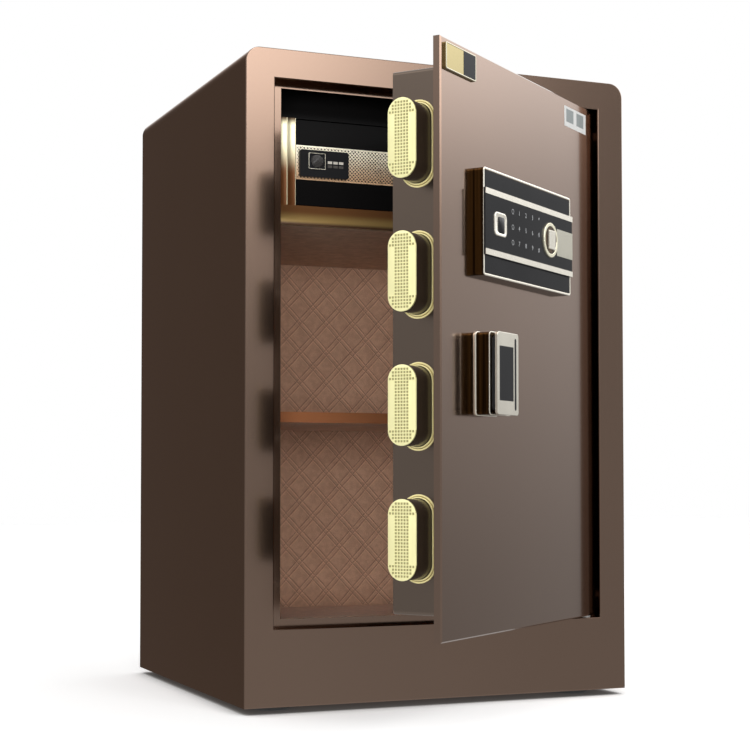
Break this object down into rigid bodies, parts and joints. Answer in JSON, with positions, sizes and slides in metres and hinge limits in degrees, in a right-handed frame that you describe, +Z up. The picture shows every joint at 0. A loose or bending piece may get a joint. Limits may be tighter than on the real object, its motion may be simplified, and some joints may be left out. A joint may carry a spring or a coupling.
{
  "type": "home safe",
  "caption": "Upright steel home safe: hinged door with oval locking bolts and touch panel, quilted inside with a shelf and a small inner locker.",
  "frame": {"origin": "on the floor under the middle of the cabinet, in the plane of the four feet", "axes": "+X to the right as seen from the front, +Y from the front to the back wall, +Z up"},
  "size_m": [0.395, 0.5566, 0.606],
  "materials": {
    "brown_enamel": "satin bronze-brown baked enamel",
    "black_rubber": "moulded rubber",
    "quilted_lining": "brown quilted leatherette",
    "mat_cloth": "brown leatherette",
    "copper_trim": "copper-toned metal",
    "bright_steel": "zinc-plated steel",
    "hinge_bronze": "plain bearing bronze",
    "black_enamel": "gloss black enamel",
    "gold_metal": "polished pale gold plating",
    "dark_chrome": "dark polished steel",
    "black_gloss": "gloss black moulding",
    "smoked_zinc": "dark plated die casting",
    "pale_zinc": "pale champagne plated die casting",
    "grey_plastic": "dark grey moulding",
    "cell_wrap": "printed sleeve left plain",
    "board_green": "lacquered circuit board"
  },
  "bodies": {
    "cabinet": {"outer_shell": "brown_enamel", "back_panel": "brown_enamel", "front_frame": "brown_enamel", "floor_deck": "brown_enamel", "rubber_feet": "black_rubber", "lining_left": "quilted_lining", "lining_right": "quilted_lining", "lining_back": "quilted_lining", "lining_top": "quilted_lining", "floor_mat": "mat_cloth", "anchor_plugs": "black_rubber", "shelf_board": "mat_cloth", "shelf_trim": "copper_trim", "shelf_pins": "bright_steel", "locker_housing": "black_enamel", "locker_front": "black_enamel", "locker_trim": "gold_metal", "locker_fixed_mesh": "gold_metal", "locker_hinge_pins": "bright_steel", "hinge_pins": "bright_steel"},
    "door": {"door_plate": "brown_enamel", "hinge_bushes": "hinge_bronze", "door_box": "brown_enamel", "back_cover": "brown_enamel", "cover_screws": "bright_steel", "dead_bar": "bright_steel", "bolt_rings": "gold_metal", "guide_posts": "bright_steel", "handle_base": "smoked_zinc", "solenoid": "grey_plastic", "battery_box": "grey_plastic", "batteries": "cell_wrap", "battery_hatch": "grey_plastic", "control_board": "board_green", "panel_housing": "black_gloss", "panel_glass": "black_gloss", "panel_band": "black_gloss", "panel_strips": "gold_metal", "finger_bezel": "gold_metal", "finger_sensor": "black_gloss", "key_ring": "gold_metal", "label_tab": "gold_metal", "badge_plate": "pale_zinc"},
    "bolts": {"bolt_bar": "bright_steel", "bolt_shafts": "dark_chrome", "bolt_caps": "gold_metal"},
    "handle": {"handle_grip": "pale_zinc", "handle_inlay": "black_gloss", "handle_spindle": "bright_steel", "drive_crank": "bright_steel"},
    "plunger": {"solenoid_plunger": "bright_steel"},
    "override": {"override_knob": "smoked_zinc", "override_grip": "pale_zinc", "override_plug": "bright_steel"},
    "locker_leaf": {"locker_door": "black_enamel", "locker_door_mesh": "gold_metal", "locker_lock": "black_gloss", "locker_keys": "grey_plastic"},
    "locker_turn": {"locker_knob": "pale_zinc", "locker_latch": "bright_steel"}
  },
  "joints": [
    {"name": "door_swing", "type": "hinge", "parent": "cabinet", "child": "door", "pos_m": [0.157, -0.174, 0.328], "axis": [0, 0, 1], "range_deg": [-37.6, 67.4]},
    {"name": "handle_turn", "type": "hinge", "parent": "door", "child": "handle", "pos_m": [-0.01649, -0.34042, 0.3018], "axis": [0.6101, -0.7923, 0], "range_deg": [-90, 0]},
    {"name": "bolt_throw", "type": "slide", "parent": "door", "child": "bolts", "axis": [-0.7923, -0.6101, 0], "range_m": [-0.028, 0]},
    {"name": "plunger_slide", "type": "slide", "parent": "door", "child": "plunger", "axis": [0, 0, -1], "range_m": [0, 0.007]},
    {"name": "override_turn", "type": "hinge", "parent": "door", "child": "override", "pos_m": [0.06857, -0.26519, 0.4314], "axis": [0.6101, -0.7923, 0], "range_deg": [-90, 0]},
    {"name": "locker_swing", "type": "hinge", "parent": "cabinet", "child": "locker_leaf", "pos_m": [-0.02, -0.111, 0.516], "axis": [0, 0, 1], "range_deg": [0, 90]},
    {"name": "locker_knob_turn", "type": "hinge", "parent": "locker_leaf", "child": "locker_turn", "pos_m": [-0.105, -0.1202, 0.5173], "axis": [0, -1, 0], "range_deg": [-90, 0]}
  ],
  "couplings": [
    {"joint": "handle_turn", "follows": "bolt_throw", "rad_per_m": 56.1}
  ]
}
